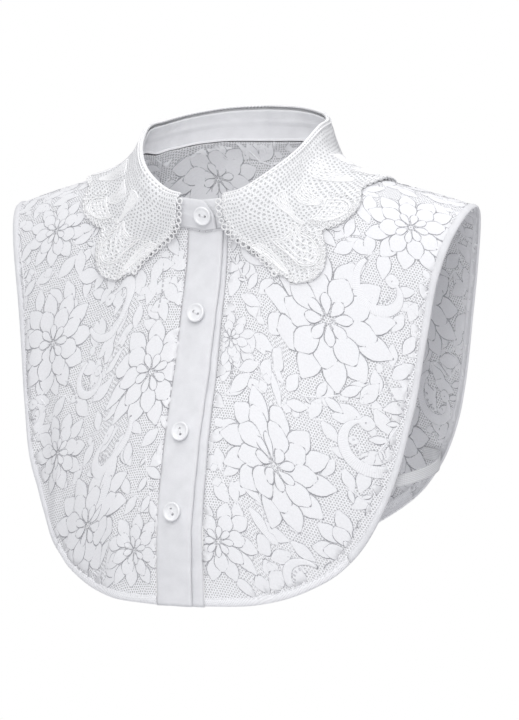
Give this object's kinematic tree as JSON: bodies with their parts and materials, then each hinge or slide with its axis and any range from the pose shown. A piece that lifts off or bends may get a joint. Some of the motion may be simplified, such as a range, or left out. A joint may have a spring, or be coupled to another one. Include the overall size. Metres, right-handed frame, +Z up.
{
  "type": "lace collar",
  "caption": "Detachable half blouse of floral lace with a scalloped crochet-look collar, buttoned stand and placket, bound open armholes and narrow elastic side straps.",
  "frame": {"origin": "The middle of the wearer's neck, a little below the height of the side neck points, which is where the neck and shoulders of the wearer hold the garment up.", "axes": "+Z is up along the neck, the front with its buttons faces -Y, and +X is the wearer's left, from shoulder to shoulder."},
  "size_m": [0.3362, 0.1504, 0.3117],
  "materials": {
    "stretch_lace": "fine net with woven flowers",
    "guipure_lace": "matte cotton cord lace",
    "cotton_poplin": "plain matte weave",
    "elastic_tape": "ribbed matte tape",
    "button_resin": "soft gloss"
  },
  "bodies": {
    "root": {"front_left": "stretch_lace", "front_right": "stretch_lace", "back_panel": "stretch_lace", "hem_front_left": "stretch_lace", "hem_front_right": "stretch_lace", "hem_back": "stretch_lace", "armhole_binding_left": "cotton_poplin", "armhole_binding_right": "cotton_poplin", "placket_top": "cotton_poplin", "placket_under": "cotton_poplin", "collar_stand": "cotton_poplin", "lace_collar": "guipure_lace", "side_strap_left": "elastic_tape", "side_strap_right": "elastic_tape", "button_1": "button_resin", "button_2": "button_resin", "button_3": "button_resin", "button_4": "button_resin"}
  },
  "joints": []
}
